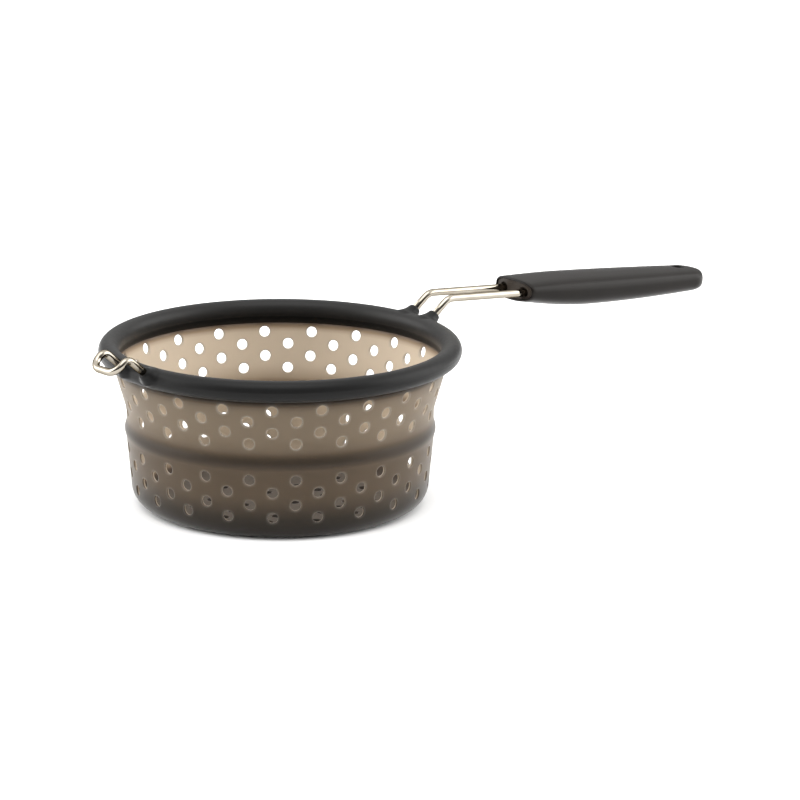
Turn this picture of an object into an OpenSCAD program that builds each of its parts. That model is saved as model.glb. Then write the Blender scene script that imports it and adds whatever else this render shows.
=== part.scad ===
// Collapsible perforated strainer basket with a long handle and a pot hook.
// Origin: centre of the underside of the basket, on the table. +Z up, handle along +X, hook at -X.

/* [Basket] */
// Outside diameter over the rim
rim_d = 190; // [170:1:210]
// Height of the rim's tube centre above the table
rim_z = 82.4; // [81:0.1:85]
// Radius of the rim's round section
rim_tube_r = 5.5; // [5:0.1:6]
// Thickness of the soft wall
wall_t = 1.4; // [1.2:0.1:1.5]
// Outside radius of the wall above the base corner
base_wall_r = 78; // [76:0.1:78.5]
// Outside radius at the narrow waist above the fold bead
waist_r = 80.5; // [80.4:0.1:81]
// Height of the waist
waist_z = 49; // [48:0.5:50]
// Outward lean of the upper wall, in mm of radius per mm of height
flare = 0.29; // [0.27:0.01:0.3]
// Radius of the rounded base corner
corner_r = 11.5; // [10:0.5:12]
// Thickness of the floor
floor_t = 2; // [1.6:0.1:2.4]

/* [Fold] */
// Height of the top edge of the stiff lower cup
cup_top_z = 29.5; // [29.1:0.1:30]
// Height where the two halves of the fold band meet
fold_mid_z = 47.5; // [47:0.5:48.5]
// Height of the bottom edge of the stiff upper wall
upper_z = 55.8; // [55.2:0.1:55.9]
// Height of the fold bead's crest
bead_z = 41; // [40.5:0.5:41]
// How far the fold bead stands out
bead_h = 1; // [0.8:0.1:1.2]

/* [Holes] */
// Diameter of a drain hole
hole_d = 5.5; // [4.5:0.1:5.6]
// Holes in one row round the wall
hole_columns = 21; // [18:1:22]
// Height of the lowest row of holes in the lower cup
low_row_z = 12.7; // [12.4:0.1:12.8]
// Spacing of the rows in the lower cup
low_row_pitch = 6.75; // [6.7:0.05:6.8]
// Height of the lowest row of holes above the fold
high_row_z = 52.3; // [52.2:0.1:52.4]
// Spacing of the rows above the fold
high_row_pitch = 6.25; // [6.2:0.05:6.3]
// Turn of the hole pattern from the handle's plane, in degrees
hole_turn = -1.6; // [-2:0.1:2]
// Spacing of the rings of holes in the floor
floor_ring_pitch = 12; // [11:0.5:12]

/* [Wires] */
// Diameter of the handle, hook and hoop wire
wire_d = 4; // [3.6:0.1:4.2]
// Distance between the two legs of the handle
leg_gap = 16.5; // [15:0.5:18]
// Slope at which the handle's legs leave the rim, in degrees
leg_rise = 38.5; // [36:0.5:41]
// Distance of the handle's bend from the basket's axis
bend_x = 106.3; // [104:0.1:108]
// Radius of the handle's bend
bend_r = 8; // [6:0.5:9]
// Downward slope of the handle, in degrees
handle_drop = 4.8; // [3:0.1:6]
// Length of the handle's collars, from the rim's tube centre
collar_len = 10; // [9:0.1:11]

/* [Hook] */
// Distance between the two legs of the hook
hook_gap = 20; // [18:0.5:21]
// Slope at which the hook's legs leave the rim, in degrees
hook_rise = 41; // [40:0.5:43]
// How far outside the hoop's centre the hook's legs are welded to it
hook_shift = 1.2; // [1:0.1:1.3]
// Turn of the hook from the handle's plane, in degrees
hook_turn = 1.2; // [0:0.1:2]
// Length of the hook's collars, from where its legs begin
hook_collar_len = 8.5; // [8:0.1:9]
// Bend radius of the hook's hump
hook_r = 4.2; // [4:0.1:4.5]
// Slope of the hook's downward end, in degrees
hook_drop = 43; // [40:1:46]
// Height of the top of the hump above the rim's tube centre, on the wire's centreline
hook_peak = 12; // [11.5:0.1:12.5]

/* [Grip] */
// Distance of the grip's front face from the basket's axis, along the handle
grip_x = 157; // [150:0.5:160]
// Length of the grip
grip_len = 137; // [125:0.5:145]
// Half width of the grip's front end
grip_front_w = 15.8; // [15:0.1:16]
// Half width of the grip where it is widest
grip_mid_w = 16.2; // [16:0.1:17]
// Half width of the grip's round end
grip_end_w = 12; // [11:0.1:13]
// Diameter of the hang hole
hang_d = 7; // [5:0.1:7.5]
// Distance of the hang hole from the grip's front
hang_u = 121; // [119:0.5:123]
// Length of the stiff core inside the grip
core_len = 72; // [66:1:80]
// Depth of the dished front end
dish = 1.2; // [0.8:0.1:1.5]

/* [Hidden] */
$fn = 96;
rim_r = rim_d / 2 - rim_tube_r;      // radius of the rim's centreline
wire_r = wire_d / 2;
leg_y = leg_gap / 2;
corner_x = base_wall_r - corner_r;   // radius at which the flat underside ends
base_top_z = 8.5;                    // where the base corner meets the lower wall
floor_r = 62;                        // radius of the flat floor disc
straight_top_z = 36;                 // where the lower cup's cone ends under the fold bead
bead_half = 5;                       // half height of the fold bead
soft_rise = 3;                       // height over which the flare above the waist begins
weld = 0.4;                          // how far a leg sinks into the hoop it is welded to
swell = 0.03;                        // how far a wire swells where a bend meets a straight stretch
swell_len = 0.3;
reach = 120;                         // beyond every radius of the basket
bend_z = rim_z + (bend_x - rim_r) * tan(leg_rise);
slope = -handle_drop;
tip_gap = 0.1;                       // clearance round the core's blind end
core_r = 3.6;                        // the core's edge radius, half its thickness
hook_tail = 0.4;                     // straight stretch between the hook's hump and its crossbar
hook_corner_r = 6.2;                 // corner radius of the hook's crossbar
collar_foot_r = 5.2;                 // radius of a collar at the rim
collar_tip_r = 3.2;                  // radius of a collar at its tip
hairpin_r = 5;                       // corner radius of the handle wire's closed end
hairpin_u = grip_x - bend_x + 62;    // where the handle wire's closed end lies, from the bend
sections = 26;                       // cross-sections along the grip
sides = 28;                          // points round each of them
section_power = 2 / 2.6;             // squareness of the grip's cross-section

// ---- Basket wall ----

// Outside radius of the wall at height z
function bulge(z) = abs(z - bead_z) < bead_half ? bead_h * (1 + cos(180 * (z - bead_z) / bead_half)) / 2 : 0;
function cone_r(z) = base_wall_r + (waist_r - base_wall_r) * min(1, (z - corner_r) / (straight_top_z - corner_r));
function flare_r(z) = let (up = max(0, z - waist_z))
    flare * (up < 2 * soft_rise ? up * up / (4 * soft_rise) : up - soft_rise);
function wall_r(z) = z < corner_r
    ? corner_x + sqrt(pow(corner_r, 2) - pow(corner_r - z, 2))
    : cone_r(z) + bulge(z) + flare_r(z);

wall_heights = concat([base_top_z - 0.5, 9, 10, corner_r, straight_top_z], [for (z = [37 : 1 : 45]) z],
                      [for (z = [46 : 3 : 55]) z], [upper_z, rim_z]);

// The section from the axis out to the wall's surface, drawn inwards by a thickness
module wall_region(inset) {
    polygon(concat([[0, wall_heights[0]], [0, rim_z]],
                   [for (i = [len(wall_heights) - 1 : -1 : 0]) [wall_r(wall_heights[i]) - inset, wall_heights[i]]]));
}

// The same for the rounded base corner, up to a height
module base_region(inset, floor_inset, top) {
    translate([0, floor_inset]) square([corner_x + 1, top - floor_inset]);
    intersection() {
        translate([corner_x, corner_r]) circle(corner_r - inset);
        translate([corner_x, floor_inset]) square([corner_r, top - floor_inset]);
    }
}

module wall_band(z_low, z_high) {
    rotate_extrude() intersection() {
        difference() {
            wall_region(0);
            wall_region(wall_t);
        }
        translate([0, z_low]) square([reach, z_high - z_low]);
    }
}

// A row of radial holes; odd rows are staggered by half a pitch
module hole_row(z, stagger) {
    for (i = [0 : hole_columns - 1])
        rotate([0, 90, hole_turn + (i + stagger) * 360 / hole_columns])
            translate([-z, 0, corner_x]) cylinder(h = reach, d = hole_d);
}

module low_row(n) { hole_row(low_row_z + n * low_row_pitch, n % 2 == 0 ? 0.5 : 0); }
module high_row(n) { hole_row(high_row_z + n * high_row_pitch, n % 2 == 0 ? 0 : 0.5); }

module upper_wall() {
    color("#a59c92") difference() {
        union() {
            wall_band(upper_z, rim_z);
            rotate_extrude() root_web();
        }
        rim_tube(rim_tube_r);
        for (n = [1 : 3]) high_row(n);
        translate([0, 0, rim_z - 0.5]) cylinder(h = 20, r = reach);
    }
}

// The wall thickens inside where it runs up into the rim
module root_web() {
    z0 = rim_z - 10;
    z1 = rim_z - 2.6;
    polygon([[wall_r(z0) - wall_t, z0], [wall_r(z0) - 0.1, z0], [rim_r - 1, z1], [rim_r - rim_tube_r + 0.6, z1]]);
}

module fold_upper() {
    color("#948a80") difference() {
        wall_band(fold_mid_z, upper_z);
        high_row(0);
    }
}

module fold_lower() {
    color("#8b8178") difference() {
        wall_band(cup_top_z, fold_mid_z);
        low_row(3);
    }
}

module lower_wall() {
    color("#9a9187") difference() {
        wall_band(base_top_z, cup_top_z);
        for (n = [0 : 2]) low_row(n);
    }
}

module base_corner() {
    color("#7d756d") difference() {
        rotate_extrude() difference() {
            base_region(0, 0, base_top_z);
            base_region(wall_t, floor_t, base_top_z + 1);
        }
        translate([0, 0, -1]) cylinder(h = base_top_z, r = floor_r);
    }
}

module floor_disc() {
    color("#8f867c") difference() {
        cylinder(h = floor_t, r = floor_r);
        for (ring = [1 : 4], i = [0 : 6 * ring - 1])
            rotate([0, 0, (i + (ring % 2) / 2) * 60 / ring])
                translate([ring * floor_ring_pitch, 0, -1]) cylinder(h = floor_t + 2, d = hole_d);
    }
}

// ---- Rim, with a collar round each leg ----

module rim_tube(r) {
    translate([0, 0, rim_z]) rotate_extrude() translate([rim_r, 0]) circle(r);
}

// Places a child where each of a pair of legs begins, with +Z along the leg
module leg_pair(gap, rise, shift) {
    for (y = [-gap / 2, gap / 2])
        translate([rim_r + shift * sin(rise), y, rim_z - shift * cos(rise)]) rotate([0, 90 - rise, 0]) children();
}

module handle_legs() { leg_pair(leg_gap, leg_rise, 0) children(); }
module hook_legs() { hook_side() leg_pair(hook_gap, hook_rise, hook_shift) children(); }
module hook_side() { rotate([0, 0, 180 + hook_turn]) children(); }

module collar(length) {
    foot = rim_tube_r - 2;
    translate([0, 0, foot]) cylinder(h = length - foot, r1 = collar_foot_r, r2 = collar_tip_r);
}

module rim_bead() {
    color("#3f4143") difference() {
        union() {
            rim_tube(rim_tube_r);
            handle_legs() collar(collar_len);
            hook_legs() collar(hook_collar_len);
        }
        rim_tube(wire_r);
        handle_legs() cylinder(h = collar_len + 5, r = wire_r);
        hook_legs() cylinder(h = collar_len + 5, r = wire_r);
    }
}

module rim_hoop() {
    color("silver") rim_tube(wire_r);
}

// ---- Wires ----

// A straight stretch of wire, with a hair-thin swell where a bend meets its far end
module straight(len) {
    cylinder(h = len, r = wire_r);
    translate([0, 0, len - swell_len / 2]) cylinder(h = swell_len, r = wire_r + swell);
}

// A straight stretch along a heading in the XZ plane, from [x, z]; both_ends swells its near end too
module rod(at, heading, len, both_ends = true) {
    translate([at[0], 0, at[1]]) rotate([0, 90 - heading, 0]) {
        straight(len);
        if (both_ends) translate([0, 0, -swell_len / 2]) cylinder(h = swell_len, r = wire_r + swell);
    }
}

// A rod bent downwards in the XZ plane, from one heading to a lower one, round [x, z]
module bend_down(centre, radius, from, to) {
    translate([centre[0], 0, centre[1]]) rotate([90, 0, 0]) rotate([0, 0, to + 90])
        rotate_extrude(angle = from - to) translate([radius, 0]) circle(wire_r);
}

// The closed end of a pair of legs: two corners and the bar between them, in the plane of a heading
module crossbar(at, heading, radius, gap) {
    half = gap / 2 - radius;
    translate([at[0], 0, at[1]]) rotate([0, -heading, 0]) for (side = [0, 1]) mirror([0, side, 0]) {
        translate([0, half, 0]) rotate_extrude(angle = 90) translate([radius, 0]) circle(wire_r);
        translate([radius, 0, 0]) rotate([-90, 0, 0]) straight(half);
    }
}

function step(at, heading, len) = [at[0] + len * cos(heading), at[1] + len * sin(heading)];

rim_at = [rim_r, rim_z];
leg_start = step(rim_at, leg_rise, wire_r - weld);
bend_cut = bend_r * tan((leg_rise - slope) / 2);
bend_in = step([bend_x, bend_z], leg_rise, -bend_cut);
bend_out = step([bend_x, bend_z], slope, bend_cut);
bend_centre = step(bend_in, leg_rise - 90, bend_r);

module handle_wire() {
    color("silver") {
        for (y = [-leg_y, leg_y]) translate([0, y, 0]) {
            rod(leg_start, leg_rise, norm(bend_in - leg_start), false);
            bend_down(bend_centre, bend_r, leg_rise, slope);
            rod(bend_out, slope, hairpin_u - hairpin_r - bend_cut);
        }
        crossbar(step([bend_x, bend_z], slope, hairpin_u - hairpin_r), slope, hairpin_r, leg_gap);
    }
}

hook_at = step(rim_at, hook_rise - 90, hook_shift);
hook_start = step(hook_at, hook_rise, wire_r - 2 * weld);
hump_z = rim_z + hook_peak - hook_r;
hump_in_z = hump_z + hook_r * cos(hook_rise);
hump_in = [hook_at[0] + (hump_in_z - hook_at[1]) / tan(hook_rise), hump_in_z];
hump_centre = step(hump_in, hook_rise - 90, hook_r);
hump_out = step(hump_centre, 90 - hook_drop, hook_r);

module hook_wire() {
    color("silver") hook_side() {
        for (y = [-hook_gap / 2, hook_gap / 2]) translate([0, y, 0]) {
            rod(hook_start, hook_rise, norm(hump_in - hook_start), false);
            bend_down(hump_centre, hook_r, hook_rise, -hook_drop);
            rod(hump_out, -hook_drop, hook_tail);
        }
        crossbar(step(hump_out, -hook_drop, hook_tail), -hook_drop, hook_corner_r, hook_gap);
    }
}

// ---- Grip ----

// Places a child on the handle's line: +X along it from the bend, +Z square to it
module handle_frame() {
    translate([bend_x, 0, bend_z]) rotate([0, handle_drop, 0]) children();
}

grip_u = (grip_x - bend_x) / cos(handle_drop);
end_u = grip_len - grip_end_w;       // centre of the round end, from the grip's front
end_t = end_u / grip_len;
belly_t = 0.36;                      // where the grip is deepest, as a share of its length
wide_t = 0.28;                       // where it is widest
end_drop = 3.2;                      // how far the top comes down at the round end
end_lift = 2.2;                      // how far the bottom rises there

// Half width, top and bottom of the grip at a share t of its length, from the handle's line
function grip_plan(t) = t < wide_t
    ? grip_mid_w - (grip_mid_w - grip_front_w) * pow(1 - t / wide_t, 2)
    : grip_mid_w - (grip_mid_w - grip_end_w) * pow((t - wide_t) / (end_t - wide_t), 1.6);
function round_end(t) = t < end_t ? 1 : sqrt(max(0.0004, 1 - pow((t - end_t) / (1 - end_t), 2)));
function grip_top(t) = 6.9 + 1.2 * sin(90 * min(1, t / 0.3)) - 1.9 * t * t - end_drop * (1 - round_end(t));
function grip_bottom(t) = (t < belly_t ? 5.2 + 4.4 * sin(90 * t / belly_t)
    : 9.6 - 3.3 * (1 - cos(90 * (t - belly_t) / (1 - belly_t)))) - end_lift * (1 - round_end(t));
function section_t(i) = let (n = sections - 8) i < n ? end_t * i / n : end_t + (1 - end_t) * sin(90 * (i - n) / 7.0);

// One point of a cross-section: a rounded rectangle, round the middle of its height
function squared(v) = sign(v) * pow(abs(v), section_power);
function section_point(t, a) = let (top = grip_top(t), bottom = -grip_bottom(t), w = grip_plan(min(t, end_t)) * round_end(t))
    [t * grip_len, w * squared(cos(a)), (top + bottom) / 2 + (top - bottom) / 2 * squared(sin(a))];

module grip_solid() {
    points = [for (i = [0 : sections - 1], j = [0 : sides - 1]) section_point(section_t(i), j * 360 / sides)];
    skin = [for (i = [0 : sections - 2], j = [0 : sides - 1]) let (k = (j + 1) % sides)
        [i * sides + j, i * sides + k, (i + 1) * sides + k, (i + 1) * sides + j]];
    front = [[for (j = [sides - 1 : -1 : 0]) j]];
    back = [[for (j = [0 : sides - 1]) (sections - 1) * sides + j]];
    polyhedron(points, concat(skin, front, back), convexity = 4);
}

module core_bar(length, grow) {
    rotate([90, 0, 90]) linear_extrude(length) {
        square([leg_gap, 2 * (core_r + grow)], center = true);
        for (y = [-leg_y, leg_y]) translate([y, 0]) circle(core_r + grow);
    }
}

module grip_core() {
    color("#4a423c") difference() {
        handle_frame() translate([grip_u + dish, 0, 0]) core_bar(core_len, 0);
        handle_wire();
    }
}

module grip_sleeve() {
    color("#2d2a28") handle_frame() translate([grip_u, 0, 0]) difference() {
        grip_solid();
        translate([-1, 0, 0]) core_bar(core_len + dish + 1 + tip_gap, 0);
        translate([hang_u, 0, -20]) cylinder(h = 40, d = hang_d);
    }
}

rim_bead();
rim_hoop();
upper_wall();
fold_upper();
fold_lower();
lower_wall();
base_corner();
floor_disc();
handle_wire();
hook_wire();
grip_core();
grip_sleeve();
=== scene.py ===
"""Looks of the collapsible strainer basket. Sizes are in millimetres, until each mesh is made in metres."""
import math

import bmesh
import bpy
import numpy as np
from mathutils import Matrix, Vector
from mathutils.geometry import delaunay_2d_cdt


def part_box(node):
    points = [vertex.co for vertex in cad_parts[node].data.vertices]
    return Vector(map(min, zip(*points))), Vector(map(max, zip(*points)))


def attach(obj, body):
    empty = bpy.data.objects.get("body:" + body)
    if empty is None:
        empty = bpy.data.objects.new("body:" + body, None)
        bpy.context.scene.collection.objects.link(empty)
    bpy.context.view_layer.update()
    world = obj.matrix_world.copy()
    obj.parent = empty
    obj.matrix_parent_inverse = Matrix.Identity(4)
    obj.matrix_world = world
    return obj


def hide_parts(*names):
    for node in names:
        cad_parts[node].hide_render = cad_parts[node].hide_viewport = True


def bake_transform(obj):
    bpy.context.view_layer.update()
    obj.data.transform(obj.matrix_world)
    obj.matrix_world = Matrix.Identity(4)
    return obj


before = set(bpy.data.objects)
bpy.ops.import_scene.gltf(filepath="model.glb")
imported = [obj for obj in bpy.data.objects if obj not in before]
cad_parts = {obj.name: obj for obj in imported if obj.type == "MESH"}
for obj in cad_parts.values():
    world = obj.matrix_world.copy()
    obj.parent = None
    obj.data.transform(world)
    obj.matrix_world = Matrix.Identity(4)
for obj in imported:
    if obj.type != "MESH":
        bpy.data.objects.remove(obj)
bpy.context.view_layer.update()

MM = 0.001


def box_mm(node):
    """Lowest and highest corner of a CAD node, in millimetres."""
    low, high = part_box(node)
    return low / MM, high / MM


# ---- Sizes taken from the frame ----

hoop_low, hoop_high = box_mm("rim_hoop")
WIRE_R = (hoop_high.z - hoop_low.z) / 2
RIM_R = hoop_high.x - WIRE_R
RIM_Z = (hoop_high.z + hoop_low.z) / 2
TUBE_R = box_mm("rim_bead")[1].y - RIM_R
FLOOR_R = box_mm("floor_disc")[1].x
FLOOR_T = box_mm("floor_disc")[1].z

# ---- The basket's wall, as in the CAD source ----

WALL_T = 1.4
BASE_WALL_R = 78.0
CORNER_R = 11.5
CORNER_X = BASE_WALL_R - CORNER_R
WAIST_R = 80.5
WAIST_Z = 49.0
STRAIGHT_TOP_Z = 36.0
FLARE = 0.29
SOFT_RISE = 3.0
BEAD_Z, BEAD_H, BEAD_HALF = 41.0, 1.0, 5.0
WEB_LOW_Z, WEB_HIGH_Z = RIM_Z - 10, RIM_Z - 2.6     # where the wall thickens inside, up to the rim
RIM_FILLET = 1.3
INNER_CORNER_R = CORNER_R - FLOOR_T
INNER_CORNER_X = BASE_WALL_R - WALL_T - INNER_CORNER_R

# ---- Holes ----

HOLE_R = 2.75
LIP = 0.35                  # rounding of a hole's edges
COLUMNS = 21
STEPS = 16                  # grid steps from one hole to the next in a row
BLOCK = 3                   # half the size of the patch round a hole, in grid steps
HOLE_TURN = math.radians(-1.6)
LOW_ROW_Z, LOW_PITCH = 12.7, 6.75
HIGH_ROW_Z, HIGH_PITCH = 52.3, 6.25
ROWS = 4                    # rows of holes in each half of the wall
FLOOR_RING_PITCH = 12.0
FLOOR_RINGS = 4
FLOOR_HOLE_SIDES = 24
AROUND = COLUMNS * STEPS
# Rings from a hole's patch into the hole: radius, depth below the surface and share of the painted
# highlight on the hole's edge
RINGS = ((HOLE_R + LIP + 0.4, 0.0, 0.35), (HOLE_R + LIP, 0.0, 1.0),
         (HOLE_R + 0.3 * LIP, 0.3 * LIP, 1.0), (HOLE_R, LIP, 0.5))
PATCH_R = RINGS[0][0]
PATCH_SHARES = (0.35, 0.7)  # rings between a patch's square border and its first round ring

# ---- Handle wire, hook wire and the collars round their legs ----

LEG_Y = 8.25
LEG_RISE = math.radians(38.5)
BEND_X, BEND_R = 106.3, 8.0
BEND_Z = RIM_Z + (BEND_X - RIM_R) * math.tan(LEG_RISE)
DROP = math.radians(4.8)
HOOK_Y, HOOK_RISE, HOOK_SHIFT = 10.0, math.radians(41), 1.2
HOOK_TURN = math.radians(1.2)
HOOK_PEAK, HOOK_R, HOOK_DROP = 12.0, 4.2, math.radians(43)
HOOK_TAIL, HOOK_CORNER_R = 0.4, 6.2
COLLAR_LEN, HOOK_COLLAR_LEN = 10.0, 8.5
COLLAR_FOOT_R, COLLAR_TIP_R = 4.8, 3.1
COLLAR_BURIED = 3.5         # length of a collar inside the rim, where it shrinks so that it doesn't show
COLLAR_SHRINK = 2.2
COLLAR_TIP_SOFT = 0.8       # softness of a collar's tip
COLLAR_FLOW = 3.2           # how softly a collar flows into the rim
FINE_HALF, FINE_STEP = 20.0, 0.36           # finer columns of the rim at the collars
COARSE_COLUMNS = 130
PARTING_PSI, PARTING_WIDTH, PARTING_H = math.radians(3), 0.045, 0.09    # the mould's parting line

# ---- Grip: heights are above and below the handle's line, u is the distance from its front ----

GRIP_X, GRIP_LEN = 157.0, 137.0
GRIP_U = (GRIP_X - BEND_X) / math.cos(DROP)
HAIRPIN_U, HAIRPIN_R = GRIP_X - BEND_X + 62, 5.0
GRIP_FRONT_W, GRIP_MID_W, GRIP_END_W = 15.8, 16.2, 12.0
END_T = (GRIP_LEN - GRIP_END_W) / GRIP_LEN
BELLY_T, WIDE_T, RISE_T = 0.36, 0.28, 0.3   # shares of the length: deepest, widest, end of the top's rise
TOP_FRONT, TOP_RISE, TOP_FALL = 6.9, 1.2, 1.9
BELLY_FRONT, BELLY_DEPTH, BELLY_LIFT = 5.2, 9.6, 3.3
END_DROP, END_LIFT = 3.2, 2.2
SQUARE = 2 / 2.6            # squareness of the grip's section
LIP_W = 1.3                 # width of the soft lip round the grip's dished front
DISH_EDGE, DISH_MID = 1.0, 2.0              # depth of the dish at its edge and in its middle
SOCKET_DEPTH = 1.7          # depth of the socket round each leg in the dish
SCOOP_BACK, SCOOP = 2.2, 2.8                # the front's sides stand back, its middle forward of them
SCOOP_FADE = 16.0
HANG_R, HANG_U = 3.5, 121.0
HANG_WIDE, HANG_DEEP, HANG_PROUD = 1.3, 2.8, 0.25   # the hang hole's rounded edge
CORE_LEN = 72.0

# ---- Camera ----

CAMERA_AZIMUTH = math.radians(232.70)
CAMERA_DISTANCE = 2382.5
CAMERA_HEIGHT = 676.0
CAMERA_HEADING = math.radians(51.193)
CAMERA_TILT = math.radians(14.609)
CAMERA_ROLL = math.radians(0.385)
LENS = 211.54


def smoothstep(low, high, value):
    t = np.clip((value - low) / (high - low), 0.0, 1.0)
    return t * t * (3 - 2 * t)


# ---- Mesh helpers ----

def make_object(name, points, faces, material, attributes=None):
    """A smooth-shaded mesh object from points in millimetres."""
    mesh = bpy.data.meshes.new(name)
    mesh.from_pydata([tuple(p) for p in np.asarray(points, float) * MM], [], faces)
    bm = bmesh.new()
    bm.from_mesh(mesh)
    bmesh.ops.recalc_face_normals(bm, faces=bm.faces)
    bm.to_mesh(mesh)
    bm.free()
    for key, values in (attributes or {}).items():
        layer = mesh.attributes.new(key, "FLOAT", "POINT")
        layer.data.foreach_set("value", np.asarray(values, np.float32))
    mesh.polygons.foreach_set("use_smooth", [True] * len(mesh.polygons))
    mesh.materials.append(material)
    obj = bpy.data.objects.new(name, mesh)
    bpy.context.scene.collection.objects.link(obj)
    return obj


def circle_angles(lit_inside_shaded_outside):
    return [2 * math.pi * k / lit_inside_shaded_outside for k in range(lit_inside_shaded_outside)]


def bridge(faces, loop_a, loop_b):
    """Quads between two closed loops of the same length."""
    count = len(loop_a)
    for k in range(count):
        n = (k + 1) % count
        faces.append((loop_a[k], loop_a[n], loop_b[n], loop_b[k]))


# ---- Wall surfaces ----

def wall_r(z):
    """Outside radius of the wall at a height."""
    if z < CORNER_R:
        return CORNER_X + math.sqrt(CORNER_R ** 2 - (CORNER_R - z) ** 2)
    cone = (WAIST_R - BASE_WALL_R) * min(1.0, (z - CORNER_R) / (STRAIGHT_TOP_Z - CORNER_R))
    bead = 0.0
    if abs(z - BEAD_Z) < BEAD_HALF:
        bead = BEAD_H * (1 + math.cos(math.pi * (z - BEAD_Z) / BEAD_HALF)) / 2
    up = max(0.0, z - WAIST_Z)
    flare = FLARE * (up * up / (4 * SOFT_RISE) if up < 2 * SOFT_RISE else up - SOFT_RISE)
    return BASE_WALL_R + cone + bead + flare


def inner_r(z):
    """Inside radius of the wall at a height, up to where it runs into the rim."""
    if z < CORNER_R:
        return INNER_CORNER_X + math.sqrt(INNER_CORNER_R ** 2 - (CORNER_R - z) ** 2)
    if z < WEB_LOW_Z:
        return wall_r(z) - WALL_T
    span = WEB_HIGH_Z - WEB_LOW_Z
    dz = WEB_HIGH_Z - RIM_Z
    reach = math.sqrt(TUBE_R ** 2 - dz ** 2)
    t = (z - WEB_LOW_Z) / span
    start, end = wall_r(WEB_LOW_Z) - WALL_T, RIM_R - reach
    return (start * (2 * t ** 3 - 3 * t ** 2 + 1) + FLARE * span * (t ** 3 - 2 * t ** 2 + t)
            + end * (3 * t ** 2 - 2 * t ** 3) + dz / reach * span * (t ** 3 - t ** 2))


def thickness_and_shade_tone(z, inner):
    """How dark the silicone looks: 0 where it is thin and light shines through, 1 where it is thick;
    painted shade also darkens a band round the fold, the lower wall and the inside floor.
    """
    rim = smoothstep(70.5, 79.5, z)
    # Painted shade: a dark band under the fold's bead, whose lower side faces down; the wall is no thicker
    # there
    fold = 0.52 * np.exp(-((z - 42.0) / 5.0) ** 2)
    # Darker lower down and towards the base, partly painted shade
    lower = 0.1 + 0.2 * smoothstep(50.0, 34.0, z) + 0.42 * smoothstep(25.0, 5.0, z)
    outside = np.maximum.reduce([rim, fold, lower])
    # Inside: the fold's painted shade at half strength, and painted shade darkening the floor and the foot
    # of the wall
    inside = np.maximum.reduce([rim, 0.5 * fold, 0.85 * smoothstep(9.0, 3.0, z)])
    return np.clip(outside + (inside - outside) * inner, 0.0, 1.0)


def silicone_attributes(points, edge, inner):
    """What the silicone's material reads at each point, fixed at rest."""
    p = np.array(points, float)
    tone = thickness_and_shade_tone(p[:, 2], np.array(inner, float))
    return {"tone": tone, "edge": edge, "inner": inner}


class Wall:
    """Collects the points and faces of the wall, with a patch of rings round each hole."""

    def __init__(self):
        self.points = []
        self.faces = []
        self.edge = []       # share of the painted highlight, 1 on the rounded edge of a hole
        self.inner = []      # 1 on the inside of the basket, whose colours carry painted light
        self.side = 0.0

    def add_xyz(self, x, y, z, edge=0.0):
        self.points.append((x, y, z))
        self.edge.append(edge)
        self.inner.append(self.side)
        return len(self.points) - 1

    def add(self, radius, angle, z, edge=0.0):
        return self.add_xyz(radius * math.cos(angle), radius * math.sin(angle), z, edge)

    def circle(self, radius, z):
        return [self.add(radius, HOLE_TURN + 2 * math.pi * u / AROUND, z) for u in range(AROUND)]


def grid_levels():
    """Heights of the wall's grid lines, and the line on which each row of holes lies with its stagger."""
    quarter = range(-BLOCK, 4 * ROWS - 4 + BLOCK + 1)
    low = [LOW_ROW_Z + k * LOW_PITCH / 4 for k in quarter]
    high = [HIGH_ROW_Z + k * HIGH_PITCH / 4 for k in quarter]
    middle = list(np.arange(math.floor(low[-1]) + 1, high[0] - 0.3, 1.0))
    first_high = len(low) + len(middle)
    rows = [(BLOCK + 4 * n, (n + 1) % 2) for n in range(ROWS)]
    rows += [(first_high + BLOCK + 4 * n, n % 2) for n in range(ROWS)]
    return low + middle + high, rows


LEVELS, HOLE_ROWS = grid_levels()
SEAM_Z = LEVELS[-1]         # where the wall's skin meets the rim's


def hole_patch(wall, surface, inward, grid, centre_u, centre_v):
    """Rings of points from the grid's square round a hole down into it; returns the last ring."""
    z0 = LEVELS[centre_v]
    step_z = LEVELS[centre_v + 1] - z0
    step_u = 2 * math.pi * surface(z0) / AROUND
    b = BLOCK
    square = ([(b, k) for k in range(-b, b)] + [(-k, b) for k in range(-b, b)]
              + [(-b, -k) for k in range(-b, b)] + [(k, -b) for k in range(-b, b)])
    loop = [grid[(centre_u + du) % AROUND, centre_v + dv] for du, dv in square]
    offsets = [(du * step_u, dv * step_z) for du, dv in square]
    angles = [math.atan2(y, x) for x, y in offsets]
    centre = HOLE_TURN + 2 * math.pi * centre_u / AROUND
    shapes = []
    for share in PATCH_SHARES:
        shapes.append(([(x + (PATCH_R * math.cos(a) - x) * share, y + (PATCH_R * math.sin(a) - y) * share)
                        for (x, y), a in zip(offsets, angles)], 0.0, 0.0))
    # The third value is each ring's share of the painted highlight on the hole's edge
    for radius, depth, edge in RINGS:
        shapes.append(([(radius * math.cos(a), radius * math.sin(a)) for a in angles], depth, edge))
    for ring, depth, edge in shapes:
        ids = [wall.add(surface(z0 + y) + inward * depth, centre + x / surface(z0), z0 + y, edge)
               for x, y in ring]
        bridge(wall.faces, loop, ids)
        loop = ids
    return loop


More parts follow.
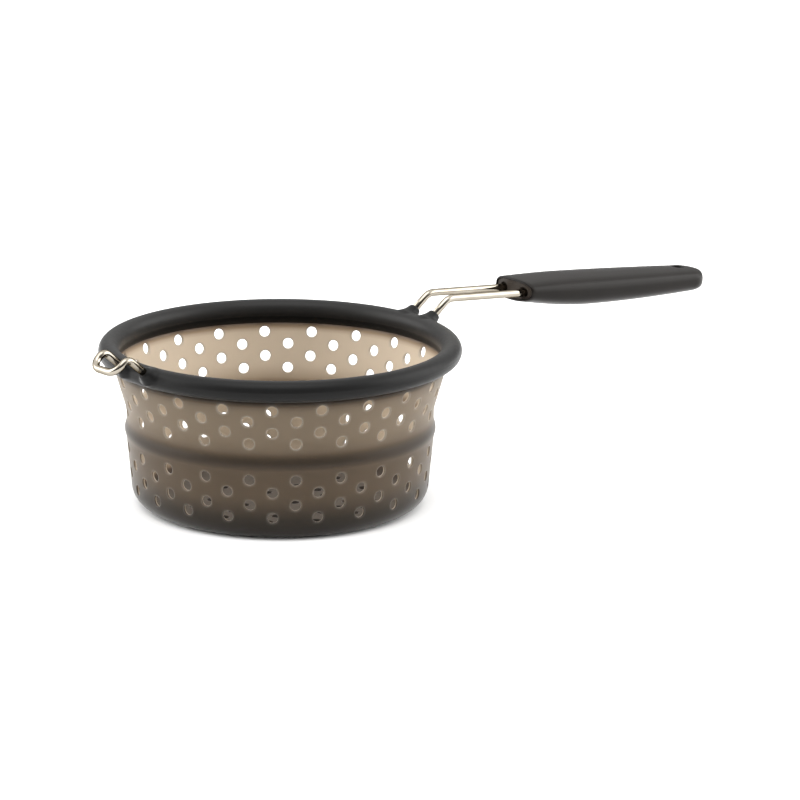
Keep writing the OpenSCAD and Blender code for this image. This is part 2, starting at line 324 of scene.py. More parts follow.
def wall_surface(wall, surface, inward):
    """One side of the wall with its holes; returns its bottom loop, its top loop and its holes' rings."""
    holes = [(STEPS * i + stagger * STEPS // 2, level)
             for level, stagger in HOLE_ROWS for i in range(COLUMNS)]
    inside, covered = set(), set()
    for cu, cv in holes:
        for du in range(-BLOCK, BLOCK):
            for dv in range(-BLOCK, BLOCK):
                covered.add(((cu + du) % AROUND, cv + dv))
                if du > -BLOCK and dv > -BLOCK:
                    inside.add(((cu + du) % AROUND, cv + dv))
    grid = {}
    for v, z in enumerate(LEVELS):
        for u in range(AROUND):
            if (u, v) not in inside:
                grid[u, v] = wall.add(surface(z), HOLE_TURN + 2 * math.pi * u / AROUND, z)
    for v in range(len(LEVELS) - 1):
        for u in range(AROUND):
            if (u, v) not in covered:
                n = (u + 1) % AROUND
                wall.faces.append((grid[u, v], grid[n, v], grid[n, v + 1], grid[u, v + 1]))
    rings = [hole_patch(wall, surface, inward, grid, cu, cv) for cu, cv in holes]
    bottom = [grid[u, 0] for u in range(AROUND)]
    top = [grid[u, len(LEVELS) - 1] for u in range(AROUND)]
    return bottom, top, rings


def corner_loops(wall, loop, centre_x, radius, edge_z, steps=10):
    """Carries a loop round the base corner and in to the edge of the floor."""
    start = math.asin((LEVELS[0] - CORNER_R) / radius)
    for k in range(1, steps + 1):
        a = start + (-math.pi / 2 - start) * k / steps
        ring = wall.circle(centre_x + radius * math.cos(a), CORNER_R + radius * math.sin(a))
        bridge(wall.faces, loop, ring)
        loop = ring
    edge = wall.circle(FLOOR_R, edge_z)
    bridge(wall.faces, loop, edge)
    return edge


def floor_plan():
    """Points of the floor, its triangles round the holes as indices into them, and the holes' centres."""
    plan = [(FLOOR_R * math.cos(HOLE_TURN + 2 * math.pi * u / AROUND),
             FLOOR_R * math.sin(HOLE_TURN + 2 * math.pi * u / AROUND)) for u in range(AROUND)]
    edges = [(u, (u + 1) % AROUND) for u in range(AROUND)]
    centres = []
    for ring in range(1, FLOOR_RINGS + 1):
        for i in range(6 * ring):
            angle = math.radians((i + ring % 2 / 2) * 60 / ring)
            radius = ring * FLOOR_RING_PITCH
            centres.append((radius * math.cos(angle), radius * math.sin(angle)))
    for cx, cy in centres:
        first = len(plan)
        for k, a in enumerate(circle_angles(FLOOR_HOLE_SIDES)):
            plan.append((cx + PATCH_R * math.cos(a), cy + PATCH_R * math.sin(a)))
            edges.append((first + k, first + (k + 1) % FLOOR_HOLE_SIDES))
    verts, _, tris, origin, _, _ = delaunay_2d_cdt([Vector(p) for p in plan], edges, [], 1, 1e-6)
    kept = []
    for tri in tris:
        mid = sum((verts[i] for i in tri), Vector((0, 0))) / 3
        if all(math.hypot(mid.x - cx, mid.y - cy) > PATCH_R * 0.99 for cx, cy in centres):
            kept.append([origin[i][0] for i in tri])
    return plan, kept, centres


def floor_surface(wall, edge, z, inward, layout):
    """One side of the floor, joined to the corner's edge loop; returns the rings inside its holes."""
    plan, triangles, centres = layout
    ids = list(edge)
    for x, y in plan[AROUND:]:
        ids.append(wall.add_xyz(x, y, z))
    wall.faces.extend(tuple(ids[i] for i in tri) for tri in triangles)
    ends = []
    for h, (cx, cy) in enumerate(centres):
        first = AROUND + h * FLOOR_HOLE_SIDES
        loop = ids[first:first + FLOOR_HOLE_SIDES]
        for radius, depth, painted_highlight in RINGS[1:]:
            ring = [wall.add_xyz(cx + radius * math.cos(a), cy + radius * math.sin(a), z + inward * depth,
                                 painted_highlight) for a in circle_angles(FLOOR_HOLE_SIDES)]
            bridge(wall.faces, loop, ring)
            loop = ring
        ends.append(loop)
    return ends


def build_wall(material):
    """The wall, fold, base corner and floor as one closed skin with true holes."""
    wall = Wall()
    layout = floor_plan()
    low_out, top_out, rings_out = wall_surface(wall, wall_r, -1)
    edge_out = corner_loops(wall, low_out, CORNER_X, CORNER_R, 0.0)
    rings_out += floor_surface(wall, edge_out, 0.0, 1, layout)
    wall.side = 1.0
    low_in, top_in, rings_in = wall_surface(wall, inner_r, 1)
    edge_in = corner_loops(wall, low_in, INNER_CORNER_X, INNER_CORNER_R, FLOOR_T)
    rings_in += floor_surface(wall, edge_in, FLOOR_T, -1, layout)
    for a, b in zip(rings_out, rings_in):
        bridge(wall.faces, a, b)
    bridge(wall.faces, top_out, top_in)
    return make_object("basket_wall", wall.points, wall.faces, material,
                       silicone_attributes(wall.points, wall.edge, wall.inner))


# ---- Rim ----

def rim_fillet():
    """Centre of the small fillet under the rim, and the height where it leaves the wall."""
    slope = math.hypot(1, FLARE)

    def centre(z):
        return wall_r(z) + RIM_FILLET / slope, z - RIM_FILLET * FLARE / slope

    low, high = RIM_Z - 10, RIM_Z - 3
    for _ in range(60):
        z = (low + high) / 2
        r, cz = centre(z)
        if math.hypot(r - RIM_R, cz - RIM_Z) > TUBE_R + RIM_FILLET:
            low = z
        else:
            high = z
    return centre(low), low


def rim_section():
    """The rim's section from the wall's outside round the tube to its inside: (r, z, angle on the tube)."""
    (fr, fz), leave_z = rim_fillet()
    start = math.atan2(leave_z - fz, wall_r(leave_z) - fr)
    end = math.atan2(RIM_Z - fz, RIM_R - fr)
    section = [(wall_r(SEAM_Z), SEAM_Z, None)]
    start += 2 * math.pi if start < 0 else 0
    fillet_steps, tube_steps, web_steps = 7, 116, 6
    for k in range(fillet_steps):
        a = start + (end - start) * k / fillet_steps
        section.append((fr + RIM_FILLET * math.cos(a), fz + RIM_FILLET * math.sin(a), None))
    first = end - math.pi
    last = math.pi + math.asin((RIM_Z - WEB_HIGH_Z) / TUBE_R)
    for k in range(tube_steps + 1):
        a = first + (last - first) * k / tube_steps
        section.append((RIM_R + TUBE_R * math.cos(a), RIM_Z + TUBE_R * math.sin(a), a))
    for k in range(1, web_steps + 1):
        z = WEB_HIGH_Z + (SEAM_Z - WEB_HIGH_Z) * k / web_steps
        section.append((inner_r(z), z, None))
    return section


def smooth_min(a, b, k):
    """The lesser of two distances, blended over a softness k."""
    h = np.clip(0.5 + 0.5 * (b - a) / k, 0.0, 1.0)
    return b + (a - b) * h - k * h * (1 - h)


def collar_axes():
    """Foot, direction and length of each of the four collars."""
    axes = []
    for y in (LEG_Y, -LEG_Y):
        direction = np.array([math.cos(LEG_RISE), 0, math.sin(LEG_RISE)])
        axes.append((np.array([RIM_R, y, RIM_Z]), direction, COLLAR_LEN))
    c, n = math.cos(math.pi + HOOK_TURN), math.sin(math.pi + HOOK_TURN)
    turn = np.array([[c, -n, 0], [n, c, 0], [0, 0, 1]])
    foot_x, foot_z = RIM_R + HOOK_SHIFT * math.sin(HOOK_RISE), RIM_Z - HOOK_SHIFT * math.cos(HOOK_RISE)
    for y in (HOOK_Y, -HOOK_Y):
        direction = turn @ np.array([math.cos(HOOK_RISE), 0, math.sin(HOOK_RISE)])
        axes.append((turn @ np.array([foot_x, y, foot_z]), direction, HOOK_COLLAR_LEN))
    return axes


def collar_distance(p, foot, direction, length):
    """Distance of points from a collar, negative inside it."""
    rel = p - foot
    along = rel @ direction
    off = np.linalg.norm(rel - np.outer(np.maximum(along, 0.0), direction), axis=1)
    share = (along - COLLAR_BURIED) / (length - COLLAR_BURIED)
    radius = COLLAR_FOOT_R - (COLLAR_FOOT_R - COLLAR_TIP_R) * np.clip(share, 0, 1)
    radius -= COLLAR_SHRINK * (1 - smoothstep(0.0, COLLAR_BURIED, along))
    return -smooth_min(radius - off, length - along, COLLAR_TIP_SOFT)


def collared_radius(theta, psi):
    """Distance of the rim's surface from the tube's centre, with the collars flowing out of it."""
    outward = np.stack([np.cos(theta), np.sin(theta), np.zeros_like(theta)], -1)
    centre = RIM_R * outward + np.array([0, 0, RIM_Z])
    ray = math.cos(psi) * outward + np.array([0, 0, math.sin(psi)])
    low = np.full(len(theta), TUBE_R - 0.01)
    high = np.full(len(theta), COLLAR_LEN + 4.0)
    axes = collar_axes()
    for _ in range(30):
        reach = (low + high) / 2
        p = centre + ray * reach[:, None]
        d = np.hypot(np.hypot(p[:, 0], p[:, 1]) - RIM_R, p[:, 2] - RIM_Z) - TUBE_R
        for foot, direction, length in axes:
            d = smooth_min(d, collar_distance(p, foot, direction, length), COLLAR_FLOW)
        low = np.where(d < 0, reach, low)
        high = np.where(d < 0, high, reach)
    return low + PARTING_H * math.exp(-((psi - PARTING_PSI) / PARTING_WIDTH) ** 2)


def rim_azimuths():
    """Azimuths of the rim's columns, closer together at the collars."""
    fine = np.arange(-FINE_HALF, FINE_HALF + 0.01, FINE_STEP) / (RIM_R + TUBE_R)
    coarse = np.linspace(fine[-1], math.pi - fine[-1], COARSE_COLUMNS)[1:-1]
    return np.concatenate([fine, coarse, fine + math.pi, coarse + math.pi])


def build_rim(material):
    """The rim with its four collars, from the seam on the wall's outside to the seam on its inside."""
    thetas = rim_azimuths()
    points, loops, inner = [], [], []
    for r, z, psi in rim_section():
        if psi is None:
            radius, level = np.full(len(thetas), r), np.full(len(thetas), z)
            facing_in = 1.0 if r < RIM_R - TUBE_R else 0.0
        else:
            reach = collared_radius(thetas, psi)
            radius, level = RIM_R + reach * math.cos(psi), RIM_Z + reach * math.sin(psi)
            facing_in = float(smoothstep(math.radians(70), math.radians(170), psi))
        loops.append(list(range(len(points), len(points) + len(thetas))))
        points += list(np.stack([radius * np.cos(thetas), radius * np.sin(thetas), level], -1))
        # Inward-facing parts of the rim take the inside's lighter colours, which carry painted light
        inner += [facing_in] * len(thetas)
    faces = []
    for a, b in zip(loops, loops[1:] + loops[:1]):
        bridge(faces, a, b)
    return make_object("basket_rim", points, faces, material,
                       silicone_attributes(points, [0.0] * len(points), inner))


# ---- Wires ----

def rounded_path(corners, radii, step_deg=6):
    """A path through 3-D corners, each rounded with its radius; the first and last corners are its ends."""
    path = [Vector(corners[0])]
    for before, at, after, radius in zip(corners, corners[1:], corners[2:], radii):
        a, c, b = Vector(before), Vector(at), Vector(after)
        into, out = (c - a).normalized(), (b - c).normalized()
        turn = into.angle(out)
        cut = radius * math.tan(turn / 2)
        side = (out - into * into.dot(out)).normalized()
        centre = c - into * cut + side * radius
        count = max(2, round(math.degrees(turn) / step_deg))
        for k in range(count + 1):
            angle = turn * k / count
            path.append(centre - side * radius * math.cos(angle) + into * radius * math.sin(angle))
    path.append(Vector(corners[-1]))
    return path


def sweep(name, path, radius, material, lit_inside_shaded_outside=28):
    """A round wire along a path, with a frame carried along it without twist."""
    points, loops, faces = [], [], []
    normal = None
    for i, p in enumerate(path):
        tangent = (path[min(i + 1, len(path) - 1)] - path[max(i - 1, 0)]).normalized()
        if normal is None:
            normal = tangent.orthogonal()
        normal = (normal - tangent * normal.dot(tangent)).normalized()
        other = tangent.cross(normal)
        loops.append(list(range(len(points), len(points) + lit_inside_shaded_outside)))
        points += [p + (normal * math.cos(a) + other * math.sin(a)) * radius for a in circle_angles(lit_inside_shaded_outside)]
    for a, b in zip(loops, loops[1:]):
        bridge(faces, a, b)
    faces.append(tuple(loops[0]))
    faces.append(tuple(reversed(loops[-1])))
    return make_object(name, points, faces, material)


def along(start, heading, length):
    """A point in the handle's plane at a distance along a heading."""
    return start[0] + length * math.cos(heading), start[1] + length * math.sin(heading)


def paired_path(plane_points, radii, half_gap):
    """Both legs of a bent wire: out along y > 0, across, and back along y < 0."""
    there = [(x, half_gap, z) for x, z in plane_points]
    back = [(x, -y, z) for x, y, z in reversed(there)]
    return rounded_path(there + back, radii + radii[::-1])


def build_handle_wire(material):
    plane = [(RIM_R, RIM_Z), (BEND_X, BEND_Z), along((BEND_X, BEND_Z), -DROP, HAIRPIN_U)]
    return sweep("handle_wire_bent", paired_path(plane, [BEND_R, HAIRPIN_R], LEG_Y), WIRE_R, material)


def build_hook_wire(material):
    start = along((RIM_R, RIM_Z), HOOK_RISE - math.pi / 2, HOOK_SHIFT)
    rise_z = RIM_Z + HOOK_PEAK - HOOK_R + HOOK_R * math.cos(HOOK_RISE)
    rise = (start[0] + (rise_z - start[1]) / math.tan(HOOK_RISE), rise_z)
    hump = along(rise, HOOK_RISE, HOOK_R * math.tan((HOOK_RISE + HOOK_DROP) / 2))
    centre = along(rise, HOOK_RISE - math.pi / 2, HOOK_R)
    fall = along(centre, math.pi / 2 - HOOK_DROP, HOOK_R)
    low = along(fall, -HOOK_DROP, HOOK_TAIL + HOOK_CORNER_R)
    turn = Matrix.Rotation(math.pi + HOOK_TURN, 3, "Z")
    path = [turn @ p for p in paired_path([start, hump, low], [HOOK_R, HOOK_CORNER_R], HOOK_Y)]
    return sweep("hook_wire_bent", path, WIRE_R, material)


# ---- Grip ----

def grip_half_width(t):
    if t < WIDE_T:
        return GRIP_MID_W - (GRIP_MID_W - GRIP_FRONT_W) * (1 - t / WIDE_T) ** 2
    t = min(t, END_T)
    return GRIP_MID_W - (GRIP_MID_W - GRIP_END_W) * ((t - WIDE_T) / (END_T - WIDE_T)) ** 1.6


def round_end(t):
    """Share of the size that the round end keeps; never quite 0, so that the end stays a loop."""
    if t < END_T:
        return 1.0
    return math.sqrt(max(0.0004, 1 - ((t - END_T) / (1 - END_T)) ** 2))


def grip_top(t):
    rise = TOP_RISE * math.sin(math.pi / 2 * min(1, t / RISE_T))
    return TOP_FRONT + rise - TOP_FALL * t * t - END_DROP * (1 - round_end(t))


def grip_bottom(t):
    if t < BELLY_T:
        depth = BELLY_FRONT + (BELLY_DEPTH - BELLY_FRONT) * math.sin(math.pi / 2 * t / BELLY_T)
    else:
        depth = BELLY_DEPTH - BELLY_LIFT * (1 - math.cos(math.pi / 2 * (t - BELLY_T) / (1 - BELLY_T)))
    return depth - END_LIFT * (1 - round_end(t))


def squared(value):
    return math.copysign(abs(value) ** SQUARE, value)


def section_point(t, u, inset, angle, share=1.0):
    """A point on the grip's section at share t of its length, moved in from its edge; (u along, y, z)."""
    top, bottom = grip_top(t) - inset, -grip_bottom(t) + inset
    width = max(0.05, grip_half_width(t) * round_end(t) - inset)
    middle = (top + bottom) / 2
    return (u, share * width * squared(math.cos(angle)),
            middle + share * (top - bottom) / 2 * squared(math.sin(angle)))


def scooped(p):
    """Bends the grip's flat front so that its sides stand back."""
    u, y, z = p
    share = 1 - float(smoothstep(0.0, SCOOP_FADE, u))
    return u + share * (SCOOP_BACK - SCOOP * max(0.0, 1 - (y / GRIP_FRONT_W) ** 2)), y, z


def handle_point(p):
    """From the grip's own frame (from its front, along the handle's line) to the row frame."""
    u, y, z = scooped(p)
    u += GRIP_U
    return (BEND_X + u * math.cos(DROP) + z * math.sin(DROP), y,
            BEND_Z - u * math.sin(DROP) + z * math.cos(DROP))


def loft(rings):
    """A closed skin through rings of points, with a face over each end."""
    points, faces, loops = [], [], []
    for ring in rings:
        loops.append(list(range(len(points), len(points) + len(ring))))
        points += ring
    for a, b in zip(loops, loops[1:]):
        bridge(faces, a, b)
    faces.append(tuple(reversed(loops[0])))
    faces.append(tuple(loops[-1]))
    return points, faces


def hang_cutter():
    """A spool that cuts the hang hole with a broad rounded edge above and below."""
    top, bottom = grip_top(HANG_U / GRIP_LEN), -grip_bottom(HANG_U / GRIP_LEN)
    quarter = [math.radians(90 * k / 8) for k in range(9)]
    radii = [HANG_R + HANG_WIDE * (1 - math.sin(a)) for a in quarter]
    depths = [HANG_DEEP * (1 - math.cos(a)) - HANG_PROUD for a in quarter]
    upper = [(r, top - d) for r, d in zip(radii, depths)]
    lower = [(r, bottom + d) for r, d in zip(radii, depths)]
    outside_r, outside_z = HANG_R + 4, 20.0
    profile = [(outside_r, outside_z)] + upper + lower[::-1] + [(outside_r, -outside_z)]
    rings = [[(HANG_U + r * math.cos(a), r * math.sin(a), z) for a in circle_angles(48)]
             for r, z in profile]
    points, faces = loft(rings)
    material = bpy.data.materials.new("cut")
    return make_object("hang_cutter", [handle_point(p) for p in points], faces, material)


def build_sleeve(material):
    """The soft sleeve with its rounded lip, the cavity for the core and the hang hole."""
    angles = circle_angles(72)
    # Inset from the section's edge and u, from the cavity's far end out over the rounded lip
    lip = [(LIP_W + 0.05, CORE_LEN + 1.3), (LIP_W + 0.05, 2.4), (LIP_W, 0.9), (LIP_W * 0.86, 0.3),
           (LIP_W * 0.6, 0.0), (LIP_W * 0.3, 0.12), (LIP_W * 0.1, 0.45)]
    lip_end, body_steps, end_steps = 0.9, 44, 14
    rings = [[section_point(0.0, u, inset, a) for a in angles] for inset, u in lip]
    body = [lip_end / GRIP_LEN] + [END_T * k / body_steps for k in range(1, body_steps + 1)]
    body += [END_T + (1 - END_T) * math.sin(math.pi / 2 * k / end_steps) for k in range(1, end_steps + 1)]
    rings += [[section_point(t, t * GRIP_LEN, 0.0, a) for a in angles] for t in body]
    points, faces = loft(rings)
    sleeve = make_object("grip_sleeve_soft", [handle_point(p) for p in points], faces, material)
    cutter = hang_cutter()
    cut = sleeve.modifiers.new("hang_hole", "BOOLEAN")
    cut.object, cut.operation, cut.solver = cutter, "DIFFERENCE", "EXACT"
    final = bpy.data.meshes.new_from_object(sleeve.evaluated_get(bpy.context.evaluated_depsgraph_get()))
    sleeve.modifiers.clear()
    sleeve.data = final
    final.materials.clear()
    final.materials.append(material)
    final.polygons.foreach_set("material_index", [0] * len(final.polygons))
    final.polygons.foreach_set("use_smooth", [True] * len(final.polygons))
    final.set_sharp_from_angle(angle=math.radians(40))
    bpy.data.objects.remove(cutter)
    return sleeve


def build_core(material):
    """The stiff core: a dished face with a socket round each leg of the wire, and a bar in the sleeve."""
    angles = circle_angles(120)
    count = 44
    inset = LIP_W + 0.1
    smallest = 0.004        # share of the section at the face's middle
    rings = [[section_point(0.0, CORE_LEN, inset, a) for a in angles]]
    for k in range(count, -1, -1):
        share = max(k / count, smallest)
        ring = []
        for a in angles:
            _, y, z = section_point(0.0, 0.0, inset, a, share)
            off = math.hypot(abs(y) - LEG_Y, z)
            socket = SOCKET_DEPTH * float(smoothstep(WIRE_R + 1.25, WIRE_R + 0.45, off))
            ring.append((DISH_EDGE + (DISH_MID - DISH_EDGE) * (1 - share ** 2) + socket, y, z))
        rings.append(ring)
    points, faces = loft(rings)
    return make_object("grip_core_face", [handle_point(p) for p in points], faces, material)


# ---- Materials ----

def new_material(name):
    """A material with one principled shader; returns it, its node tree, the shader and coordinates."""
    material = bpy.data.materials.new(name)
    material.use_nodes = True
    tree = material.node_tree
    tree.nodes.clear()
    output = tree.nodes.new("ShaderNodeOutputMaterial")
    shader = tree.nodes.new("ShaderNodeBsdfPrincipled")
    tree.links.new(shader.outputs["BSDF"], output.inputs["Surface"])
    coords = tree.nodes.new("ShaderNodeTexCoord")
    return material, tree, shader, coords


def noise(tree, coords, scale, detail=3.0, stretch=(1, 1, 1)):
    mapping = tree.nodes.new("ShaderNodeMapping")
    mapping.inputs["Scale"].default_value = stretch
    tree.links.new(coords.outputs["Object"], mapping.inputs["Vector"])
    node = tree.nodes.new("ShaderNodeTexNoise")
    node.inputs["Scale"].default_value = scale
    node.inputs["Detail"].default_value = detail
    tree.links.new(mapping.outputs["Vector"], node.inputs["Vector"])
    return node


def ramp(tree, source, stops):
    """A colour ramp from a list of (position, colour)."""
    node = tree.nodes.new("ShaderNodeValToRGB")
    while len(node.color_ramp.elements) < len(stops):
        node.color_ramp.elements.new(0.5)
    for element, (position, colour) in zip(node.color_ramp.elements, stops):
        element.position = position
        element.color = (*colour, 1)
    tree.links.new(source, node.inputs["Fac"])
    return node


def spread(tree, source, low, high):
    """Maps 0 to 1 onto a range."""
    node = tree.nodes.new("ShaderNodeMapRange")
    node.inputs["To Min"].default_value = low
    node.inputs["To Max"].default_value = high
    tree.links.new(source, node.inputs["Value"])
    return node


def bump(tree, shader, source, strength, distance):
    node = tree.nodes.new("ShaderNodeBump")
    node.inputs["Strength"].default_value = strength
    node.inputs["Distance"].default_value = distance
    tree.links.new(source, node.inputs["Height"])
    tree.links.new(node.outputs["Normal"], shader.inputs["Normal"])
    return node


def mix_colour(tree, factor, a, b, blend="MIX"):
    node = tree.nodes.new("ShaderNodeMix")
    node.data_type = "RGBA"
    node.blend_type = blend
    node.clamp_factor = True
    if isinstance(factor, float):
        node.inputs[0].default_value = factor
    else:
        tree.links.new(factor, node.inputs[0])
    tree.links.new(a, node.inputs[6])
    tree.links.new(b, node.inputs[7])
    return node.outputs[2]


def attribute(tree, name):
    node = tree.nodes.new("ShaderNodeAttribute")
    node.attribute_name = name
    return node.outputs["Fac"]


def silicone(name, sheen):
    """Grey-brown silicone: light shines warm through thin walls, and thick parts look nearly black. The
    inside is painted far lighter than the outside, as painted light from within, and the holes' edges get a
    painted highlight.
    """
    material, tree, shader, coords = new_material(name)
    tone, inner, edge = attribute(tree, "tone"), attribute(tree, "inner"), attribute(tree, "edge")
    # Painted light: the inside's colours are far lighter than the outside's, standing in for light from
    # within the basket, and the outside's for its shaded side
    outside = ramp(tree, tone, [(0.0, (0.072, 0.060, 0.047)), (0.3, (0.044, 0.035, 0.026)),
                                (0.6, (0.018, 0.015, 0.012)), (1.0, (0.0075, 0.0075, 0.0075))])
    inside = ramp(tree, tone, [(0.0, (0.60, 0.50, 0.385)), (0.25, (0.36, 0.27, 0.190)),
                               (0.6, (0.085, 0.060, 0.043)), (1.0, (0.020, 0.0195, 0.019))])
    lit_inside_shaded_outside = mix_colour(tree, inner, outside.outputs["Color"], inside.outputs["Color"])
    clouds = noise(tree, coords, 28, 4)
    mottled = ramp(tree, clouds.outputs["Fac"], [(0.3, (0.92, 0.92, 0.925)), (0.7, (1.06, 1.055, 1.05))])
    base = mix_colour(tree, 1.0, lit_inside_shaded_outside, mottled.outputs["Color"], "MULTIPLY")
    # Painted highlight: the holes' rounded edges are painted paler, more so where the wall is thin
    pale = ramp(tree, tone, [(0.0, (0.36, 0.335, 0.30)), (0.35, (0.17, 0.155, 0.135)),
                             (0.8, (0.045, 0.042, 0.038))])
    highlight_share = spread(tree, edge, 0.0, 0.55)
    lit = mix_colour(tree, highlight_share.outputs["Result"], base, pale.outputs["Color"])
    tree.links.new(lit, shader.inputs["Base Color"])
    fine = noise(tree, coords, 420, 2)
    rough = spread(tree, fine.outputs["Fac"], 0.34, 0.47)
    tree.links.new(rough.outputs["Result"], shader.inputs["Roughness"])
    shader.inputs["Specular IOR Level"].default_value = 0.16
    shader.inputs["IOR"].default_value = 1.4
    shader.inputs["Sheen Weight"].default_value = sheen
    shader.inputs["Sheen Roughness"].default_value = 0.35
    shader.inputs["Sheen Tint"].default_value = (0.95, 0.95, 0.93, 1)
    grain = noise(tree, coords, 1500, 2)
    relief = bump(tree, shader, grain.outputs["Fac"], 0.16, 0.00006)
    glow = tree.nodes.new("ShaderNodeBsdfTranslucent")
    through = ramp(tree, tone, [(0.0, (0.90, 0.82, 0.71)), (0.3, (0.62, 0.50, 0.37)),
                                (1.0, (0.10, 0.085, 0.075))])
    tree.links.new(through.outputs["Color"], glow.inputs["Color"])
    tree.links.new(relief.outputs["Normal"], glow.inputs["Normal"])
    share = spread(tree, tone, 0.36, 0.0)
    mix = tree.nodes.new("ShaderNodeMixShader")
    tree.links.new(share.outputs["Result"], mix.inputs["Fac"])
    tree.links.new(shader.outputs["BSDF"], mix.inputs[1])
    tree.links.new(glow.outputs["BSDF"], mix.inputs[2])
    output = next(n for n in tree.nodes if n.type == "OUTPUT_MATERIAL")
    tree.links.new(mix.outputs["Shader"], output.inputs["Surface"])
    return material


def polished_steel():
    """Bent wire with faint drawing marks, darker and warmer where it is seen at a slant."""
    material, tree, shader, coords = new_material("polished_steel")
    shader.inputs["Metallic"].default_value = 1.0
    shader.inputs["Specular Tint"].default_value = (0.20, 0.17, 0.13, 1)
    patches = noise(tree, coords, 70, 3)
    colour = ramp(tree, patches.outputs["Fac"], [(0.3, (0.28, 0.25, 0.205)), (0.7, (0.37, 0.34, 0.29))])
    tree.links.new(colour.outputs["Color"], shader.inputs["Base Color"])
    marks = noise(tree, coords, 260, 3, (0.12, 6, 6))
    rough = spread(tree, marks.outputs["Fac"], 0.05, 0.15)
    tree.links.new(rough.outputs["Result"], shader.inputs["Roughness"])
    bump(tree, shader, marks.outputs["Fac"], 0.08, 0.00004)
    return material


def matte_plastic(name, dark, light, rough_low, rough_high):
    """Moulded plastic with a fine spark-eroded grain and slight differences in tone."""
    material, tree, shader, coords = new_material(name)
    clouds = noise(tree, coords, 55, 4)
    colour = ramp(tree, clouds.outputs["Fac"], [(0.3, dark), (0.75, light)])
    tree.links.new(colour.outputs["Color"], shader.inputs["Base Color"])
    grain = noise(tree, coords, 2600, 2)
    rough = spread(tree, grain.outputs["Fac"], rough_low, rough_high)
    tree.links.new(rough.outputs["Result"], shader.inputs["Roughness"])
    shader.inputs["Specular IOR Level"].default_value = 0.12
    bump(tree, shader, grain.outputs["Fac"], 0.25, 0.00005)
    return material


# ---- Stage ----

def make_camera():
    """The main view's camera."""
    camera = bpy.data.objects.new("camera", bpy.data.cameras.new("camera"))
    camera.data.sensor_width = 36
    camera.data.lens = LENS
    place = Vector((CAMERA_DISTANCE * math.cos(CAMERA_AZIMUTH), CAMERA_DISTANCE * math.sin(CAMERA_AZIMUTH),
                    CAMERA_HEIGHT)) * MM
    turn = (Matrix.Rotation(CAMERA_HEADING - math.pi / 2, 4, "Z")
            @ Matrix.Rotation(math.pi / 2 - CAMERA_TILT, 4, "X")
            @ Matrix.Rotation(CAMERA_ROLL, 4, "Z"))
    camera.matrix_world = Matrix.Translation(place) @ turn
    camera.data.clip_start, camera.data.clip_end = 0.05, 100
    bpy.context.scene.collection.objects.link(camera)
    bpy.context.scene.camera = camera


def make_floor():
    """A plain pale floor, large enough to fill the view."""
    mesh = bpy.data.meshes.new("floor")
    half = 12.0             # metres
    z = -0.00005            # a hair below the basket's base
    mesh.from_pydata([(-half, -half, z), (half, -half, z), (half, half, z), (-half, half, z)],
                     [], [(0, 1, 2, 3)])
    material, tree, shader, coords = new_material("floor")
    faint = noise(tree, coords, 3, 2)
    colour = ramp(tree, faint.outputs["Fac"], [(0.3, (0.93, 0.93, 0.93)), (0.7, (0.95, 0.95, 0.95))])
    tree.links.new(colour.outputs["Color"], shader.inputs["Base Color"])
    shader.inputs["Roughness"].default_value = 0.9
    shader.inputs["Specular IOR Level"].default_value = 0.1
    mesh.materials.append(material)
    floor = bpy.data.objects.new("floor", mesh)
    bpy.context.scene.collection.objects.link(floor)


def smooth_range(tree, value, from_low, from_high, to_low, to_high):
    """Maps one range smoothly onto another."""
    node = tree.nodes.new("ShaderNodeMapRange")
    node.interpolation_type = "SMOOTHSTEP"
    node.inputs["From Min"].default_value = from_low
    node.inputs["From Max"].default_value = from_high
    node.inputs["To Min"].default_value = to_low
    node.inputs["To Max"].default_value = to_high
    tree.links.new(value, node.inputs["Value"])
    return node.outputs["Result"]


def arithmetic(tree, operation, a, b):
    node = tree.nodes.new("ShaderNodeMath")
    node.operation = operation
    tree.links.new(a, node.inputs[0])
    tree.links.new(b, node.inputs[1])
    return node.outputs["Value"]


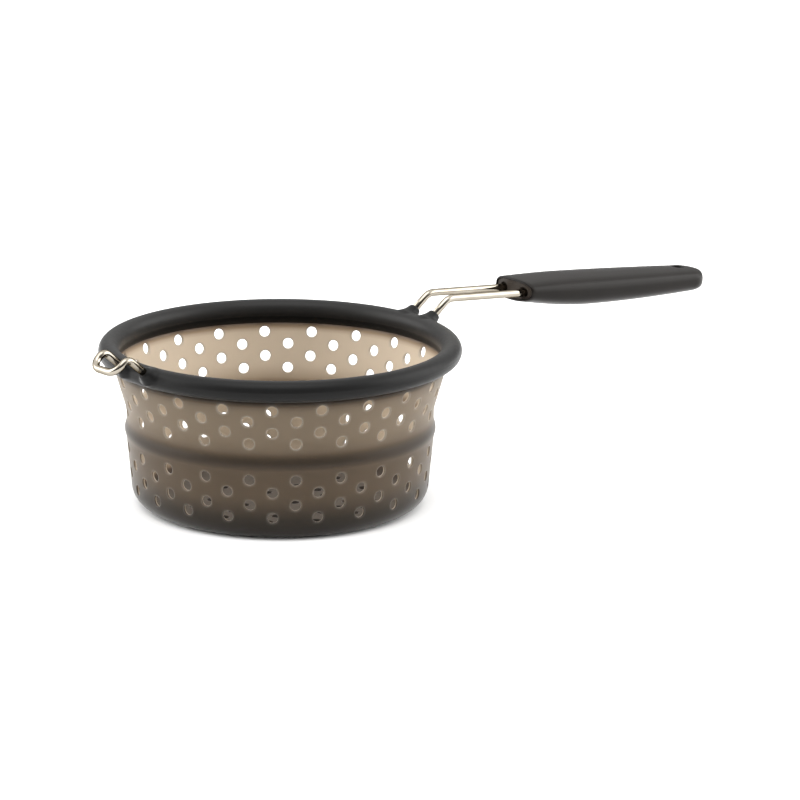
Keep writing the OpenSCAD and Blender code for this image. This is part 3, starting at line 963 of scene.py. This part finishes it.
def make_light():
    """A light tent: bright above and to both sides, dark round the horizon and on the viewer's side."""
    world = bpy.data.worlds.new("studio")
    bpy.context.scene.world = world
    world.use_nodes = True
    tree = world.node_tree
    tree.nodes.clear()
    output = tree.nodes.new("ShaderNodeOutputWorld")
    background = tree.nodes.new("ShaderNodeBackground")
    coords = tree.nodes.new("ShaderNodeTexCoord")

    def toward(azimuth, height):
        """How far a ray points towards an azimuth and a height, from -1 to 1."""
        node = tree.nodes.new("ShaderNodeVectorMath")
        node.operation = "DOT_PRODUCT"
        level = math.sqrt(1 - height ** 2)
        node.inputs[1].default_value = (level * math.cos(azimuth), level * math.sin(azimuth), height)
        tree.links.new(coords.outputs["Generated"], node.inputs[0])
        return node.outputs["Value"]

    sky = smooth_range(tree, toward(0.0, 1.0), 0.15, 0.75, 0.42, 1.75)
    front = smooth_range(tree, toward(CAMERA_AZIMUTH, 0.0), 0.1, 0.85, 1.0, 0.16)
    level = arithmetic(tree, "MULTIPLY", sky, front)
    for side, power in ((math.radians(-95), 4.2), (math.radians(95), 4.0)):
        box = smooth_range(tree, toward(CAMERA_AZIMUTH + side, 0.3), 0.82, 0.93, 0.0, power)
        level = arithmetic(tree, "ADD", level, box)
    tree.links.new(level, background.inputs["Strength"])
    background.inputs["Color"].default_value = (1.0, 0.995, 0.985, 1)
    tree.links.new(background.outputs["Background"], output.inputs["Surface"])
    sun = bpy.data.objects.new("overhead", bpy.data.lights.new("overhead", "SUN"))
    sun.data.energy = 1.6
    sun.data.angle = math.radians(50)
    sun.rotation_euler = (math.radians(12), math.radians(-14), 0)
    bpy.context.scene.collection.objects.link(sun)


def build_object():
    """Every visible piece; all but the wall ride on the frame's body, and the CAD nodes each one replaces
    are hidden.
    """
    skin = silicone("wall_silicone", 0.38)
    steel = polished_steel()
    wall = build_wall(skin)
    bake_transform(wall)
    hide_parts("upper_wall", "fold_upper", "fold_lower", "lower_wall", "base_corner", "floor_disc")
    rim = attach(build_rim(silicone("rim_silicone", 0.06)), "frame")
    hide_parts("rim_bead")
    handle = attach(build_handle_wire(steel), "frame")
    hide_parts("handle_wire")
    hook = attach(build_hook_wire(steel), "frame")
    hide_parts("hook_wire")
    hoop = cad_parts["rim_hoop"]
    hoop.data.materials.clear()
    hoop.data.materials.append(steel)
    soft = matte_plastic("soft_grip", (0.0065, 0.0052, 0.0043), (0.0095, 0.0077, 0.0064), 0.30, 0.40)
    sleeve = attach(build_sleeve(soft), "frame")
    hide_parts("grip_sleeve")
    stiff = matte_plastic("grip_core", (0.030, 0.024, 0.019), (0.045, 0.036, 0.029), 0.4, 0.55)
    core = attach(build_core(stiff), "frame")
    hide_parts("grip_core")


bpy.context.scene.view_settings.view_transform = "Standard"
build_object()
make_floor()
make_light()
make_camera()
